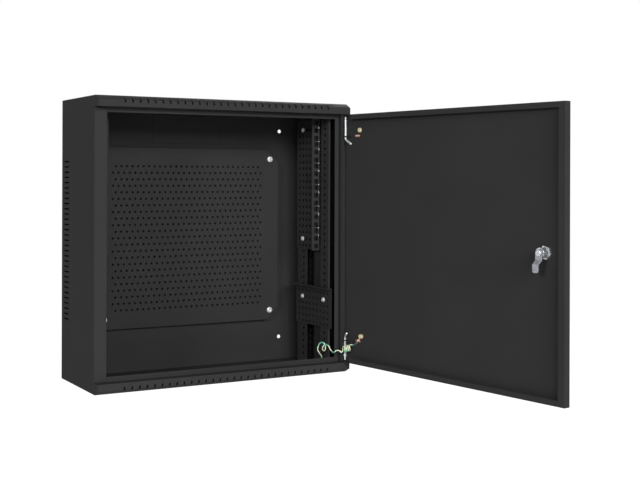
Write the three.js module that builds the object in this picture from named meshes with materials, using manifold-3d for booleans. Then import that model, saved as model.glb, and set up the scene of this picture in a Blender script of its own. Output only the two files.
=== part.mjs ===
// Slim wall-hung equipment cabinet of folded sheet steel, with its door open.
// Sizes are in millimetres. x runs to the right, y towards the wall and z up.
// The origin is the middle of the back face, where the cabinet meets the wall.

import * as THREE from 'three';
import { mergeVertices } from 'three/addons/utils/BufferGeometryUtils.js';
import Module from 'manifold-3d';

const wasm = await Module();
wasm.setup();

// Enclosure
const WIDTH = 540;
const HEIGHT = 542;
const DEPTH = 198;
const SHEET = 1.5;
const SEAM = 0.3;
const BAR_HEIGHT = 21;
const SLOPE_DEPTH = 14.8;
const SLOPE_HEIGHT = 8.2;
const POST_RECESS = 19;
const POST_WIDTH = 24;
const HEADER_DROP = 9.4;
const STRIKE_DEPTH = 9;

// Slots in the two front bars and vents in the two sides
const BAR_SLOTS = 30;
const BAR_SLOT_PITCH = 15;
const BAR_SLOT_WIDTH = 3;
const BAR_SLOT_BELOW_BEND = 4.8;
const BAR_SLOT_ABOVE_BEND = 3.6;
const VENTS = 31;
const VENT_PITCH = 10.1;
const VENT_LENGTH = 29;
const VENT_HEIGHT = 3;
const VENT_FROM_BACK = 26.5;

// Back panel
const WALL_HOLE_FROM_SIDE = 51;
const WALL_HOLE_FROM_END = 50;
const WALL_HOLE_RADIUS = 3.8;
const DIMPLE_RADIUS = 11;
const DIMPLE_DEPTH = 0.8;
const KNOCKOUT_WIDTH = 159;
const KNOCKOUT_HEIGHT = 60;
const KNOCKOUT_FROM_TOP = 20.7;
const KNOCKOUT_CUT = 0.8;

// Perforation that the uprights, rails and side bracket share
const PUNCH_PITCH_Y = 13.5;
const PUNCH_PITCH_Z = 13.45;
const PUNCH_SIZE = 5;
const PUNCH_END_MARGIN = 15;
const FRONT_COLUMN_FROM_FRONT = 51;
const REAR_COLUMN_FROM_BACK = 66;

// Uprights
const UPRIGHT_FROM_SIDE = 28;
const FRONT_UPRIGHT_WIDTH = 30;
const REAR_UPRIGHT_WIDTH = 38.9;
const COLUMN_FROM_FRONT_EDGE = 14.6;
const FRONT_UPRIGHT_LIP = 4;

// Rack rails
const UNIT = 44.45;
const UNITS = 6;
const RACK_HOLE_FROM_SIDE = 37.45;
const RACK_HOLE_SIZE = 9.5;
const RACK_HOLES_IN_UNIT = [UNIT / 7, UNIT / 2, (UNIT * 6) / 7];
const RAIL_INNER_FROM_SIDE = 46.8;
const RAIL_FRONT = 69;
const RAIL_BEHIND_COLUMN = 24.4;
const RAIL_FROM_TOP = 27.9;
const RAIL_END_MARGIN = 2;
const RAIL_SCREW_FROM_END = 21;
const RAIL_WEB_COLUMNS = 6;
const RAIL_COLUMNS_BEFORE = 4;
const RAIL_WEB_ROWS = 19;
const RAIL_FIRST_ROW = 7.4;

// Side bracket
const BRACKET_BEFORE_COLUMN = 29;
const BRACKET_BEHIND_COLUMN = 27;
const BRACKET_TOP_FROM_BOTTOM = 168;
const BRACKET_HEIGHT = 81.4;
const BRACKET_LIP = 15;
const BRACKET_ROWS = 6;
const BRACKET_PITCH_Z = 12.7;
const BRACKET_SCREW_BELOW_TOP = 24.8;
const BRACKET_LIP_HOLE = 4;

// Mounting plate
const PLATE_FROM_SIDE = 62;
const PLATE_FROM_END = 90.2;
const PLATE_FROM_BACK = 14;
const PLATE_CORNER = 26;
const PLATE_SCREW_INSET = 20.2;
const SPACER_RADIUS = 5.5;

// Fasteners
const SCREW_HEAD_RADIUS = 4.8;
const SCREW_HEAD_HEIGHT = 3;
const SCREW_SHANK_RADIUS = 2.1;
const SCREW_LENGTH = 7;
const PLATE_SCREW_HEAD_RADIUS = 6.2;
const PLATE_SCREW_HEAD_HEIGHT = 3.8;
const PLATE_SCREW_SHANK_RADIUS = 2.5;
const FIT = 0.3;

// Door, measured from its hinge axis
const HINGE_FROM_SIDE = 6.5;
const HINGE_BEHIND_FRONT = 7.1;
const DOOR_OPEN_ANGLE = 98.64;
const DOOR_EDGE_FROM_SIDE = 0.5;
const DOOR_HEEL = 6;
const DOOR_SKIN = 4.6;
const DOOR_THICKNESS = 13.4;
const DOOR_SHEET = 1.2;
const DOOR_GAP = 1;
const DOOR_EDGE_LIP = 13;
const DOOR_HEEL_LIP = 7.5;
const DOOR_TOP_LIP = 10;
const DOOR_HINGE_NOTCH = 22;

// Hinge pins and their guides
const PIN_RADIUS = 2.3;
const PIVOT_RADIUS = 2;
const PIVOT_IN_BAR = 5;
const COLLAR_RADIUS = 3.1;
const COLLAR_HEIGHT = 5;
const COLLAR_BELOW_BAR = 11.5;
const PIN_BEND_BELOW_BAR = 51;
const PIN_HANDLE_REACH = 17;
const PIN_HANDLE_DROP = 9.5;
const LOWER_HANDLE_TURN = 30;
const GUIDE_BELOW_BAR = 43.5;
const GUIDE_EDGE = 4.2;
const GUIDE_LENGTH = 20;
const GUIDE_WIDTH = 5;
const GUIDE_FOOT = 8.5;
const GUIDE_FOOT_HEIGHT = 12;

// Lock
const LOCK_FROM_EDGE = 45;
const LOCK_FLANGE_RADIUS = 11;
const LOCK_FLANGE_HEIGHT = 2.2;
const LOCK_RADIUS = 9;
const LOCK_BACK = 15;
const LOCK_NUT_WIDTH = 20.8;
const LOCK_NUT_HEIGHT = 5.2;
const LOCK_NUT_TURN = -14;
const PLUG_RADIUS = 6;
const PLUG_TAIL = 7;
const KEYWAY_WIDTH = 1.4;
const KEYWAY_HEIGHT = 7.2;
const KEYWAY_DEPTH = 4;
const CAM_THICKNESS = 2.5;
const CAM_HUB_RADIUS = 7;
const CAM_TIP_WIDTH = 12;
const CAM_TIP_CORNER = 3;
const CAM_LENGTH = 32.3;
const CAM_BEND_START = 11.5;
const CAM_BEND_END = 19;
const CAM_OFFSET = 8.7;
const CAM_NUT_RADIUS = 5.6;
const CAM_NUT_HEIGHT = 1.8;

// Earth studs, terminals and wire
const STUD_RADIUS = 2;
const STUD_WASHER_RADIUS = 4.8;
const STUD_WASHER_HEIGHT = 0.6;
const STUD_NUT_WIDTH = 8;
const STUD_NUT_HEIGHT = 1.8;
const UPPER_STUD_FROM_HINGE = 39;
const UPPER_STUD_FROM_END = 31.6;
const LOWER_STUD_FROM_HINGE = 44.7;
const LOWER_STUD_FROM_END = 55.4;
const FLOOR_STUD_INWARD = 30.5;
const FLOOR_STUD_BACK = 80.9;
const TERMINAL_THICKNESS = 0.8;
const TERMINAL_RADIUS = 4.6;
const TERMINAL_TONGUE = 9;
const TERMINAL_BARREL = 8;
const TERMINAL_BARREL_RADIUS = 2;
const DOOR_TERMINAL_TURN = 38;
const WIRE_RADIUS = 1.3;
const WIRE_SIDES = 6;
const WIRE_STEPS = 240;
const WIRE_END = 2;
const COIL_POINTS_PER_TURN = 12;
const CURL_TURNS = 4.25;
const CURL_RADIUS = 5.8;
const LOOP_TURNS = 1.5;
const LOOP_RADIUS = 7.2;

// Places that follow from the sizes above
const FRONT = -DEPTH;
const HALF_WIDTH = WIDTH / 2;
const HALF_HEIGHT = HEIGHT / 2;
const BAR_EDGE = HALF_HEIGHT - BAR_HEIGHT;
const POST_FACE = FRONT + POST_RECESS;
const INNER_HALF_WIDTH = HALF_WIDTH - SHEET - SEAM;
const INNER_HALF_HEIGHT = HALF_HEIGHT - SHEET - SEAM;
const HINGE_X = HALF_WIDTH - HINGE_FROM_SIDE;
const HINGE_Y = FRONT + HINGE_BEHIND_FRONT;
const DOOR_REACH = WIDTH - HINGE_FROM_SIDE - DOOR_EDGE_FROM_SIDE;
const DOOR_HALF_HEIGHT = BAR_EDGE - DOOR_GAP;
const DOOR_INNER = DOOR_THICKNESS - DOOR_SKIN;
const DOOR_SKIN_BACK = -DOOR_SKIN + DOOR_SHEET;
const LOCK_FROM_HINGE = DOOR_REACH - LOCK_FROM_EDGE;
const UPPER_STUD_Z = DOOR_HALF_HEIGHT - UPPER_STUD_FROM_END;
const LOWER_STUD_Z = -DOOR_HALF_HEIGHT + LOWER_STUD_FROM_END;
const UPRIGHT_FACE = HALF_WIDTH - UPRIGHT_FROM_SIDE;
const RAIL_WEB = UPRIGHT_FACE - SEAM;
const REAR_COLUMN = DEPTH - REAR_COLUMN_FROM_BACK;
const COLUMNS_BETWEEN = Math.round((REAR_COLUMN - FRONT_COLUMN_FROM_FRONT) / PUNCH_PITCH_Y);
const FRONT_COLUMN = REAR_COLUMN - COLUMNS_BETWEEN * PUNCH_PITCH_Y;
const UPRIGHT_ROWS = Math.floor((HEIGHT - 2 * PUNCH_END_MARGIN) / PUNCH_PITCH_Z);
const RAIL_HEIGHT = UNITS * UNIT + 2 * RAIL_END_MARGIN;
const RAIL_TOP = HALF_HEIGHT - RAIL_FROM_TOP;
const RAIL_BOTTOM = RAIL_TOP - RAIL_HEIGHT;
const RAIL_SCREW_ROWS = [
  nearestRow(RAIL_BOTTOM + RAIL_SCREW_FROM_END), nearestRow(RAIL_TOP - RAIL_SCREW_FROM_END),
];
const BRACKET_TOP = -HALF_HEIGHT + BRACKET_TOP_FROM_BOTTOM;
const BRACKET_SCREW_ROW = nearestRow(BRACKET_TOP - BRACKET_SCREW_BELOW_TOP);
const PLATE_HALF_WIDTH = HALF_WIDTH - PLATE_FROM_SIDE;
const PLATE_HALF_HEIGHT = HALF_HEIGHT - PLATE_FROM_END;
const PLATE_SCREW_X = PLATE_HALF_WIDTH - PLATE_SCREW_INSET;
const PLATE_SCREW_Z = PLATE_HALF_HEIGHT - PLATE_SCREW_INSET;
const FLOOR_Z = -HALF_HEIGHT + SHEET + SEAM;
const FLOOR_STUD_X = HINGE_X - FLOOR_STUD_INWARD;
const FLOOR_STUD_Y = HINGE_Y + FLOOR_STUD_BACK;

// Route of the earth wire, counted inwards and back from the hinge axis and up from the floor
const WIRE_FROM_DOOR = nearHinge(-2.9, -26.9, 56.8);
const CURL_AXIS = [nearHinge(0.5, -20.1, 50.6), nearHinge(13.8, -14.9, 47.4)];
const WIRE_INTO_CABINET = [
  nearHinge(12.4, -10, 43), nearHinge(14.2, -8.5, 40.9), nearHinge(16.9, -5.4, 43.6),
  nearHinge(20.5, 0.4, 43.6), nearHinge(22.8, 7.4, 38.5),
];
const LOOP_AXIS = [nearHinge(29, 20.9, 44.9), nearHinge(33.2, 37.9, 49.3)];
const WIRE_TO_FLOOR = [
  nearHinge(40.9, 37.9, 41.2), nearHinge(36.1, 39.4, 34.1), nearHinge(30.5, 40.9, 27.4),
  nearHinge(28.6, 42.4, 21.3), nearHinge(28.3, 43.3, 13.2), nearHinge(29.5, 47.9, 5.6),
];

const materials = {
  body: { color: 0x36373a, roughness: 0.55, metalness: 0.1 },
  interior: { color: 0x333437, roughness: 0.55, metalness: 0.1 },
  chrome: { color: 0xd8d9dc, roughness: 0.18, metalness: 1 },
  zinc: { color: 0xc4c7cc, roughness: 0.35, metalness: 1 },
  brass: { color: 0xd9bd6a, roughness: 0.35, metalness: 1 },
  wire: { color: 0x58a870, roughness: 0.5, metalness: 0 },
};

const model = new THREE.Group();
const door = new THREE.Group();
door.position.set(HINGE_X, HINGE_Y, 0);
door.rotation.z = THREE.MathUtils.degToRad(DOOR_OPEN_ANGLE);
model.add(door);

function nearHinge(inward, back, up) {
  return new THREE.Vector3(HINGE_X - inward, HINGE_Y + back, FLOOR_Z + up);
}

// Heights of the rows of punched holes, by number and as the nearest to z
function rowHeight(index) {
  return (index - (UPRIGHT_ROWS - 1) / 2) * PUNCH_PITCH_Z;
}

function nearestRow(z) {
  return rowHeight(Math.round(z / PUNCH_PITCH_Z + (UPRIGHT_ROWS - 1) / 2));
}

// Solids from three.js geometry
function solidOf(geometry) {
  geometry.deleteAttribute('normal');
  geometry.deleteAttribute('uv');
  const merged = mergeVertices(geometry, 1e-4);
  return new wasm.Manifold(new wasm.Mesh({
    numProp: 3,
    vertProperties: merged.attributes.position.array,
    triVerts: Uint32Array.from(merged.index.array),
  }));
}

function addPiece(group, name, solid, finish) {
  const mesh = solid.getMesh();
  const geometry = new THREE.BufferGeometry();
  geometry.setAttribute('position', new THREE.BufferAttribute(mesh.vertProperties, 3));
  geometry.setIndex(new THREE.BufferAttribute(mesh.triVerts, 1));
  geometry.computeVertexNormals();
  const piece = new THREE.Mesh(geometry, new THREE.MeshStandardMaterial(materials[finish]));
  piece.name = name;
  group.add(piece);
}

function joined(solids) {
  return solids.reduce((sum, solid) => sum.add(solid));
}

function box(x0, x1, y0, y1, z0, z1) {
  const geometry = new THREE.BoxGeometry(Math.abs(x1 - x0), Math.abs(y1 - y0), Math.abs(z1 - z0));
  geometry.translate((x0 + x1) / 2, (y0 + y1) / 2, (z0 + z1) / 2);
  return solidOf(geometry);
}

function extruded(points, depth) {
  const shape = new THREE.Shape(points.map(([u, v]) => new THREE.Vector2(u, v)));
  return new THREE.ExtrudeGeometry(shape, { depth, bevelEnabled: false });
}

function pierced(plate, holes) {
  return holes.length ? plate.subtract(joined(holes)) : plate;
}

// A plate across x, from an outline in y and z
function plateX(points, x0, x1, holes = []) {
  const geometry = extruded(points, Math.abs(x1 - x0));
  geometry.applyMatrix4(new THREE.Matrix4().makeBasis(
    new THREE.Vector3(0, 1, 0), new THREE.Vector3(0, 0, 1), new THREE.Vector3(1, 0, 0)));
  geometry.translate(Math.min(x0, x1), 0, 0);
  const [low, high] = [Math.min(x0, x1) - SHEET, Math.max(x0, x1) + SHEET];
  return pierced(solidOf(geometry), holes.map((hole) => plateX(hole, low, high)));
}

// A plate across y, from an outline in x and z
function plateY(points, y0, y1, holes = []) {
  const geometry = extruded(points, Math.abs(y1 - y0));
  geometry.rotateX(Math.PI / 2);
  geometry.translate(0, Math.max(y0, y1), 0);
  const [low, high] = [Math.min(y0, y1) - SHEET, Math.max(y0, y1) + SHEET];
  return pierced(solidOf(geometry), holes.map((hole) => plateY(hole, low, high)));
}

function rectangle(u0, u1, v0, v1) {
  return [[u0, v0], [u1, v0], [u1, v1], [u0, v1]];
}

function polygon(u, v, radius, sides, turn = 0) {
  return Array.from({ length: sides }, (_, i) => {
    const angle = turn + (i / sides) * 2 * Math.PI;
    return [u + radius * Math.cos(angle), v + radius * Math.sin(angle)];
  });
}

function square(u, v, size) {
  return rectangle(u - size / 2, u + size / 2, v - size / 2, v + size / 2);
}

function slot(u, v, length, height) {
  const straight = length / 2 - height / 2;
  return [
    [u - length / 2, v], [u - straight, v - height / 2], [u + straight, v - height / 2],
    [u + length / 2, v], [u + straight, v + height / 2], [u - straight, v + height / 2],
  ];
}

// A round piece about the z axis, from its radii and heights
function turned(profile, sides) {
  const points = profile.map(([radius, z]) => new THREE.Vector2(radius, z));
  const geometry = new THREE.LatheGeometry(points, sides);
  geometry.rotateX(Math.PI / 2);
  return solidOf(geometry);
}

function rod(radius, z0, z1, sides = 12) {
  return turned([[0, z0], [radius, z0], [radius, z1], [0, z1]], sides);
}

// A hexagonal prism about the z axis, by its width across flats
function hexagon(width, z0, z1) {
  const radius = width / Math.sqrt(3);
  const geometry = extruded(polygon(0, 0, radius, 6), z1 - z0);
  geometry.translate(0, 0, z0);
  return solidOf(geometry);
}

// The outline of a folded sheet whose outer face follows the path, on its right-hand side
function foldedOutline(path, thickness) {
  const normals = path.slice(1).map(([u, v], i) => {
    const length = Math.hypot(u - path[i][0], v - path[i][1]);
    return [-(v - path[i][1]) / length, (u - path[i][0]) / length];
  });
  const inner = path.map(([u, v], i) => {
    const before = normals[Math.max(i - 1, 0)];
    const after = normals[Math.min(i, normals.length - 1)];
    const scale = thickness / (1 + before[0] * after[0] + before[1] * after[1]);
    return [u + (before[0] + after[0]) * scale, v + (before[1] + after[1]) * scale];
  });
  return [...path, ...inner.reverse()];
}

// Side panels, each folded round to the front post beside the opening
function sidePanel(side) {
  const outer = side * HALF_WIDTH;
  const inner = side * (HALF_WIDTH - SHEET);
  const outline = [
    [0, -HALF_HEIGHT], [FRONT + SLOPE_DEPTH, -HALF_HEIGHT], [FRONT, -HALF_HEIGHT + SLOPE_HEIGHT],
    [FRONT, -BAR_EDGE], [POST_FACE, -BAR_EDGE], [POST_FACE, BAR_EDGE], [FRONT, BAR_EDGE],
    [FRONT, HALF_HEIGHT - SLOPE_HEIGHT], [FRONT + SLOPE_DEPTH, HALF_HEIGHT], [0, HALF_HEIGHT],
  ];
  const vents = Array.from({ length: VENTS }, (_, i) => (
    slot(-VENT_FROM_BACK, (i - (VENTS - 1) / 2) * VENT_PITCH, VENT_LENGTH, VENT_HEIGHT)));
  const postEdge = side * (HALF_WIDTH - POST_WIDTH);
  const postEnd = BAR_EDGE - SEAM;
  const pieces = [
    plateX(outline, outer, inner, vents),
    box(side * (HALF_WIDTH - SHEET / 2), postEdge, POST_FACE, POST_FACE + SHEET, -postEnd, postEnd),
  ];
  if (side < 0) {
    const strikeBack = POST_FACE + SHEET + STRIKE_DEPTH;
    pieces.push(box(postEdge, postEdge - SHEET, POST_FACE, strikeBack, -postEnd, postEnd));
  }
  return joined(pieces);
}

// Top and bottom covers, each folded down over the front bar to the header strip
function cover(up) {
  const path = [
    [0, HALF_HEIGHT], [FRONT + SLOPE_DEPTH, HALF_HEIGHT], [FRONT, HALF_HEIGHT - SLOPE_HEIGHT],
    [FRONT, BAR_EDGE], [POST_FACE, BAR_EDGE], [POST_FACE, BAR_EDGE - HEADER_DROP],
  ].map(([y, z]) => [y, up * z]);
  const outline = foldedOutline(up > 0 ? path : path.reverse(), SHEET);
  let sheet = plateX(outline, -INNER_HALF_WIDTH, INNER_HALF_WIDTH);
  const headerEnd = HALF_WIDTH - POST_WIDTH - SEAM;
  for (const side of [-1, 1]) {
    const corner = box(side * headerEnd, side * HALF_WIDTH, POST_FACE - SEAM, POST_FACE + 2 * SHEET,
      up * BAR_EDGE, up * (BAR_EDGE - 2 * HEADER_DROP));
    sheet = sheet.subtract(corner);
  }
  const bend = HALF_HEIGHT - SLOPE_HEIGHT;
  const cuts = Array.from({ length: BAR_SLOTS }, (_, i) => {
    const x = (i - (BAR_SLOTS - 1) / 2) * BAR_SLOT_PITCH;
    return box(x - BAR_SLOT_WIDTH / 2, x + BAR_SLOT_WIDTH / 2, FRONT - SHEET, FRONT + SLOPE_DEPTH / 2,
      up * (bend - BAR_SLOT_BELOW_BEND), up * (bend + BAR_SLOT_ABOVE_BEND));
  });
  const pivotHole = rod(PIVOT_RADIUS + FIT, up * BAR_EDGE - 2 * SHEET, up * BAR_EDGE + 2 * SHEET)
    .translate([HINGE_X, HINGE_Y, 0]);
  return sheet.subtract(joined(cuts)).subtract(pivotHole);
}

// Back panel with its four wall holes and the scored outline of the cable knock-out
function backPanel() {
  const corners = [];
  const holeX = HALF_WIDTH - WALL_HOLE_FROM_SIDE;
  const holeZ = HALF_HEIGHT - WALL_HOLE_FROM_END;
  for (const x of [-holeX, holeX]) {
    for (const z of [-holeZ, holeZ]) {
      corners.push([x, z]);
    }
  }
  const top = HALF_HEIGHT - KNOCKOUT_FROM_TOP;
  const groove = (inset, depth) => box(
    -KNOCKOUT_WIDTH / 2 + inset, KNOCKOUT_WIDTH / 2 - inset, -SHEET - depth, -SHEET + depth,
    top - KNOCKOUT_HEIGHT + inset, top - inset);
  const knockout = groove(0, KNOCKOUT_CUT).subtract(groove(KNOCKOUT_CUT, 2 * KNOCKOUT_CUT));
  const wallHoles = corners.map(([x, z]) => polygon(x, z, WALL_HOLE_RADIUS, 16));
  const outline = rectangle(-INNER_HALF_WIDTH, INNER_HALF_WIDTH, -INNER_HALF_HEIGHT, INNER_HALF_HEIGHT);
  const sheet = plateY(outline, -SHEET, 0, wallHoles).subtract(knockout);
  const dimple = turned([
    [0, -SHEET - DIMPLE_DEPTH], [DIMPLE_RADIUS + DIMPLE_DEPTH, -SHEET - DIMPLE_DEPTH],
    [DIMPLE_RADIUS - DIMPLE_DEPTH, -SHEET + DIMPLE_DEPTH], [0, -SHEET + DIMPLE_DEPTH],
  ], 20).rotate([-90, 0, 0]);
  const dimples = corners.map(([x, z]) => dimple.translate([x, 0, z]));
  return sheet.subtract(joined(dimples));
}

// Uprights that carry the rails, each a perforated web with a flange to the side panel and a front lip
function upright(side, column, width, lip) {
  const front = FRONT + column - COLUMN_FROM_FRONT_EDGE;
  const back = front + width;
  const web = side * UPRIGHT_FACE;
  const rows = Array.from({ length: UPRIGHT_ROWS }, (_, i) => (
    square(FRONT + column, rowHeight(i), PUNCH_SIZE)));
  const outline = rectangle(front, back, -INNER_HALF_HEIGHT, INNER_HALF_HEIGHT);
  return joined([
    plateX(outline, web, web + side * SHEET, rows),
    box(web, side * INNER_HALF_WIDTH, back - SHEET, back, -INNER_HALF_HEIGHT, INNER_HALF_HEIGHT),
    box(web, web + side * lip, front, front + SHEET, -INNER_HALF_HEIGHT, INNER_HALF_HEIGHT),
  ]);
}

// Rack rails: a front flange with square holes and a punched web on the rear upright
function rackRail(side) {
  const flangeHoles = [];
  for (let unit = 0; unit < UNITS; unit += 1) {
    for (const height of RACK_HOLES_IN_UNIT) {
      const z = RAIL_BOTTOM + RAIL_END_MARGIN + unit * UNIT + height;
      flangeHoles.push(square(side * (HALF_WIDTH - RACK_HOLE_FROM_SIDE), z, RACK_HOLE_SIZE));
    }
  }
  const webHoles = [];
  const firstRow = nearestRow(RAIL_BOTTOM + RAIL_FIRST_ROW);
  for (let i = 0; i < RAIL_WEB_COLUMNS; i += 1) {
    for (let row = 0; row < RAIL_WEB_ROWS; row += 1) {
      const y = FRONT + REAR_COLUMN + (i - RAIL_COLUMNS_BEFORE) * PUNCH_PITCH_Y;
      webHoles.push(square(y, firstRow + row * PUNCH_PITCH_Z, PUNCH_SIZE));
    }
  }
  const x = [side * (HALF_WIDTH - RAIL_INNER_FROM_SIDE), side * RAIL_WEB].sort((a, b) => a - b);
  const front = FRONT + RAIL_FRONT;
  const back = FRONT + REAR_COLUMN + RAIL_BEHIND_COLUMN;
  return joined([
    plateY(rectangle(x[0], x[1], RAIL_BOTTOM, RAIL_TOP), front, front + SHEET, flangeHoles),
    plateX(rectangle(front, back, RAIL_BOTTOM, RAIL_TOP),
      side * RAIL_WEB, side * (RAIL_WEB - SHEET), webHoles),
  ]);
}

// Perforated side bracket across both right uprights, with a lip along its top
function sideBracket() {
  const holes = [];
  for (let column = -1; column <= COLUMNS_BETWEEN + 1; column += 1) {
    for (let row = 0; row < BRACKET_ROWS; row += 1) {
      const y = FRONT + FRONT_COLUMN + column * PUNCH_PITCH_Y;
      holes.push(polygon(y, BRACKET_SCREW_ROW + (1 - row) * BRACKET_PITCH_Z, PUNCH_SIZE / 2, 6));
    }
  }
  const front = FRONT + FRONT_COLUMN - BRACKET_BEFORE_COLUMN;
  const back = FRONT + REAR_COLUMN + BRACKET_BEHIND_COLUMN;
  const bottom = BRACKET_TOP - BRACKET_HEIGHT;
  const lipHoles = [];
  for (let column = -1; column <= COLUMNS_BETWEEN + 1; column += 1) {
    const y = FRONT + FRONT_COLUMN + column * PUNCH_PITCH_Y;
    const x = RAIL_WEB - BRACKET_LIP / 2;
    const half = BRACKET_LIP_HOLE / 2;
    lipHoles.push(box(x - half, x + half, y - half, y + half, BRACKET_TOP - 2 * SHEET, BRACKET_TOP + SHEET));
  }
  return pierced(joined([
    plateX(rectangle(front, back, bottom, BRACKET_TOP), RAIL_WEB - SHEET, RAIL_WEB, holes),
    box(RAIL_WEB - BRACKET_LIP, RAIL_WEB, front, back, BRACKET_TOP - SHEET, BRACKET_TOP),
  ]), lipHoles);
}

// Mounting plate with cut corners, standing off the back panel on four spacers
const plateCorners = [
  ['lower_left', -PLATE_SCREW_X, -PLATE_SCREW_Z],
  ['upper_left', -PLATE_SCREW_X, PLATE_SCREW_Z],
  ['lower_right', PLATE_SCREW_X, -PLATE_SCREW_Z],
  ['upper_right', PLATE_SCREW_X, PLATE_SCREW_Z],
];

function mountingPlate() {
  const x = PLATE_HALF_WIDTH;
  const z = PLATE_HALF_HEIGHT;
  const outline = [
    [-x + PLATE_CORNER, -z], [x - PLATE_CORNER, -z], [x, -z + PLATE_CORNER], [x, z - PLATE_CORNER],
    [x - PLATE_CORNER, z], [-x + PLATE_CORNER, z], [-x, z - PLATE_CORNER], [-x, -z + PLATE_CORNER],
  ];
  const holes = plateCorners.map(([, u, v]) => polygon(u, v, PLATE_SCREW_SHANK_RADIUS + FIT, 10));
  return plateY(outline, -PLATE_FROM_BACK, -PLATE_FROM_BACK + SHEET, holes);
}

function plateSpacer(x, z) {
  const start = -PLATE_FROM_BACK + SHEET + SEAM;
  const bore = polygon(x, z, PLATE_SCREW_SHANK_RADIUS + FIT, 10);
  return plateY(polygon(x, z, SPACER_RADIUS, 12), start, -SHEET - SEAM, [bore]);
}

// A pan-head screw about the z axis, its head above z = 0 and its shank below
function panScrew(headRadius, headHeight, shankRadius, length) {
  return turned([
    [0, -length], [shankRadius, -length], [shankRadius, 0], [headRadius, 0],
    [headRadius, headHeight * 0.4], [headRadius * 0.75, headHeight * 0.85], [0, headHeight],
  ], 12);
}

function plateScrew(x, z) {
  const length = PLATE_FROM_BACK - 2 * SHEET;
  return panScrew(PLATE_SCREW_HEAD_RADIUS, PLATE_SCREW_HEAD_HEIGHT, PLATE_SCREW_SHANK_RADIUS, length)
    .rotate([90, 0, 0])
    .translate([x, -PLATE_FROM_BACK - SEAM, z]);
}

// A screw through the rail or bracket web into the upright behind it
function webScrew(side, column, row) {
  return panScrew(SCREW_HEAD_RADIUS, SCREW_HEAD_HEIGHT, SCREW_SHANK_RADIUS, SCREW_LENGTH)
    .rotate([0, -side * 90, 0])
    .translate([side * (RAIL_WEB - SHEET - SEAM), FRONT + column, row]);
}

// Door pan: a skin with flanges all round, each folded back into a lip that stops short of the pins
function doorPanel() {
  const lipEdge = DOOR_INNER;
  const z = DOOR_HALF_HEIGHT;
  const shell = box(-DOOR_REACH, DOOR_HEEL, -DOOR_SKIN, lipEdge, -z, z);
  const hollow = box(-DOOR_REACH + DOOR_SHEET, DOOR_HEEL - DOOR_SHEET,
    DOOR_SKIN_BACK, lipEdge - DOOR_SHEET, -z + DOOR_SHEET, z - DOOR_SHEET);
  const mouth = box(-DOOR_REACH + DOOR_EDGE_LIP, DOOR_HEEL - DOOR_HEEL_LIP,
    lipEdge - 2 * DOOR_SHEET, lipEdge + DOOR_SHEET, -z + DOOR_TOP_LIP, z - DOOR_TOP_LIP);
  const hingeNotches = box(-DOOR_HINGE_NOTCH, DOOR_HEEL - DOOR_HEEL_LIP,
    lipEdge - 2 * DOOR_SHEET, lipEdge + DOOR_SHEET, -z + DOOR_SHEET, z - DOOR_SHEET);
  const pivotHoles = rod(PIVOT_RADIUS + FIT, -HALF_HEIGHT, HALF_HEIGHT);
  const lockHole = plateY(polygon(-LOCK_FROM_HINGE, 0, LOCK_RADIUS + FIT, 20),
    -DOOR_SKIN - DOOR_SHEET, DOOR_SKIN_BACK + DOOR_SHEET);
  return pierced(shell, [hollow, mouth, hingeNotches, pivotHoles, lockHole]);
}

// Hinge pins: pivot, collar, rod and a bent handle, slid back by hand to lift the door off
function hingePin(up, handleTurn) {
  const tip = BAR_EDGE + PIVOT_IN_BAR;
  const collarTop = BAR_EDGE - COLLAR_BELOW_BAR;
  const collarBottom = collarTop - COLLAR_HEIGHT;
  const bend = BAR_EDGE - PIN_BEND_BELOW_BAR;
  const stem = turned([
    [0, bend], [PIN_RADIUS, bend], [PIN_RADIUS, collarBottom], [COLLAR_RADIUS, collarBottom],
    [COLLAR_RADIUS, collarTop], [PIVOT_RADIUS, collarTop], [PIVOT_RADIUS, tip - PIVOT_RADIUS / 2],
    [PIVOT_RADIUS / 2, tip], [0, tip],
  ], 10);
  const length = Math.hypot(PIN_HANDLE_REACH, PIN_HANDLE_DROP);
  const tilt = THREE.MathUtils.radToDeg(Math.atan2(PIN_HANDLE_REACH, PIN_HANDLE_DROP));
  const handle = turned([
    [0, -length], [PIN_RADIUS * 0.7, -length], [PIN_RADIUS, -length + PIN_RADIUS * 0.5],
    [PIN_RADIUS, 0], [0, 0],
  ], 10).rotate([0, tilt, 0]).translate([0, 0, bend]);
  const elbow = solidOf(new THREE.SphereGeometry(PIN_RADIUS, 10, 6)).translate([0, 0, bend]);
  const pin = joined([stem, handle, elbow]);
  return up > 0 ? pin : pin.rotate([180, 0, -handleTurn]);
}

// Guide tab for a hinge pin, with a foot welded to the skin
function pinGuide(up) {
  const near = BAR_EDGE - GUIDE_BELOW_BAR;
  const skinFace = DOOR_SKIN_BACK + SEAM;
  const end = GUIDE_EDGE - GUIDE_LENGTH;
  const tab = box(end, GUIDE_EDGE, skinFace, GUIDE_WIDTH, near - SHEET, near);
  const foot = box(end, end + GUIDE_FOOT, skinFace, skinFace + SHEET, near - SHEET, near + GUIDE_FOOT_HEIGHT);
  const bore = rod(PIN_RADIUS + FIT, near - 2 * SHEET, near + SHEET);
  const guide = tab.add(foot).subtract(bore);
  return up > 0 ? guide : guide.mirror([0, 0, 1]);
}

// Lock: a flanged barrel held by a nut, with a turning plug that carries the bent cam
function lockBody() {
  const front = -DOOR_SKIN - SEAM;
  return turned([
    [PLUG_RADIUS + FIT, front - LOCK_FLANGE_HEIGHT], [LOCK_FLANGE_RADIUS - 1, front - LOCK_FLANGE_HEIGHT],
    [LOCK_FLANGE_RADIUS, front - 1], [LOCK_FLANGE_RADIUS, front], [LOCK_RADIUS, front],
    [LOCK_RADIUS, LOCK_BACK], [PLUG_RADIUS + FIT, LOCK_BACK],
    [PLUG_RADIUS + FIT, front - LOCK_FLANGE_HEIGHT],
  ], 20);
}

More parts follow.
